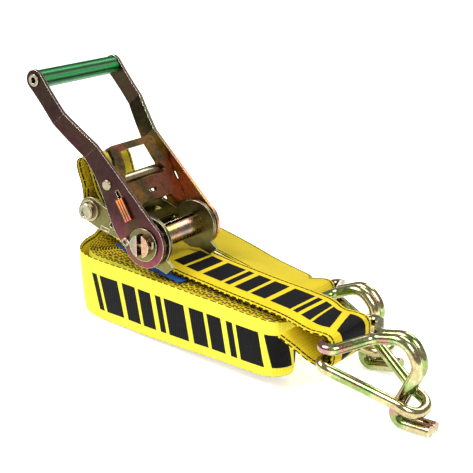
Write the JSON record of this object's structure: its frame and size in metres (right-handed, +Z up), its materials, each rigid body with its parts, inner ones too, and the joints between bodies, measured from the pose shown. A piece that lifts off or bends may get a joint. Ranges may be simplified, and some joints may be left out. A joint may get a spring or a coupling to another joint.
{
  "type": "ratchet tie down",
  "caption": "Ratchet strap tensioner with a spring pawl handle, slotted mandrel, rolled webbing and two double wire hooks with keepers.",
  "frame": {"origin": "centre of the bounding box on the ground plane, under the rolled webbing", "axes": "+Z up, +X from the ratchet towards the hooks, +Y along the mandrel, away from the near side plate"},
  "size_m": [0.3554, 0.1914, 0.1988],
  "materials": {
    "plated_steel": "satin yellow passivated",
    "handle_steel": "satin yellow passivated, dark",
    "pawl_steel": "satin yellow passivated",
    "hook_steel": "glossy yellow passivated",
    "spring_steel": "bright",
    "grip_plastic": "gloss",
    "yellow_webbing": "woven polyester"
  },
  "bodies": {
    "frame": {"frame_plate_near": "plated_steel", "frame_plate_far": "plated_steel", "frame_base_plate": "plated_steel", "lock_pawl_spring": "spring_steel", "tie_bolt": "plated_steel", "tie_bolt_bush": "plated_steel", "tie_bolt_washers": "plated_steel", "tie_bolt_nut": "plated_steel", "long_strap_coil": "yellow_webbing", "long_strap_run": "yellow_webbing", "short_strap_stack": "yellow_webbing", "short_strap_run": "yellow_webbing"},
    "mandrel": {"mandrel_half_front": "plated_steel", "mandrel_half_rear": "plated_steel", "mandrel_washers": "plated_steel", "ratchet_gear_near": "plated_steel", "ratchet_gear_far": "plated_steel", "cotter_pins": "spring_steel"},
    "handle": {"handle_arm_near": "handle_steel", "handle_arm_far": "handle_steel", "handle_grip": "grip_plastic", "handle_grip_rivet": "plated_steel", "handle_spreader_rod": "plated_steel", "drive_pawl_springs": "spring_steel"},
    "drive_pawl": {"drive_pawl": "pawl_steel"},
    "lock_pawl": {"lock_pawl": "plated_steel"},
    "hook_a": {"hook_a": "hook_steel"},
    "keeper_a": {"keeper_a": "hook_steel"},
    "hook_b": {"hook_b": "hook_steel"},
    "keeper_b": {"keeper_b": "hook_steel"}
  },
  "joints": [
    {"name": "handle_hinge", "type": "hinge", "parent": "frame", "child": "handle", "pos_m": [-0.06261, -0.01369, 0.07804], "axis": [0, 1, 0], "range_deg": [-8, 112]},
    {"name": "mandrel_spin", "type": "hinge", "parent": "frame", "child": "mandrel", "pos_m": [-0.06261, -0.01369, 0.07804], "axis": [0, 1, 0], "continuous": true},
    {"name": "drive_pawl_slide", "type": "slide", "parent": "handle", "child": "drive_pawl", "axis": [-0.497, 0, 0.8678], "range_m": [0, 0.006], "stiffness_N_per_m": 600, "deforming": ["drive_pawl_springs"]},
    {"name": "lock_pawl_slide", "type": "slide", "parent": "frame", "child": "lock_pawl", "axis": [-0.9711, 0, 0.2385], "range_m": [-0.0026, 0.005], "stiffness_N_per_m": 600, "deforming": ["lock_pawl_spring"]},
    {"name": "hook_a_swing", "type": "hinge", "parent": "frame", "child": "hook_a", "pos_m": [0.11039, -0.06169, 0.05304], "axis": [0.0523, 0.9986, 0], "range_deg": [-14, 0]},
    {"name": "keeper_a_swing", "type": "hinge", "parent": "frame", "child": "keeper_a", "pos_m": [0.11039, -0.06169, 0.04204], "axis": [0.0523, 0.9986, 0], "range_deg": [-14, 0]},
    {"name": "hook_b_swing", "type": "hinge", "parent": "frame", "child": "hook_b", "pos_m": [0.04439, 0.00831, 0.04324], "axis": [0.0523, 0.9986, 0], "range_deg": [-4.5, 0]},
    {"name": "keeper_b_swing", "type": "hinge", "parent": "frame", "child": "keeper_b", "pos_m": [0.04649, 0.0082, 0.03245], "axis": [0.0523, 0.9986, 0], "range_deg": [-4.5, 0]}
  ],
  "couplings": [
    {"joint": "keeper_a_swing", "follows": "hook_a_swing", "ratio": 1},
    {"joint": "keeper_b_swing", "follows": "hook_b_swing", "ratio": 1}
  ]
}
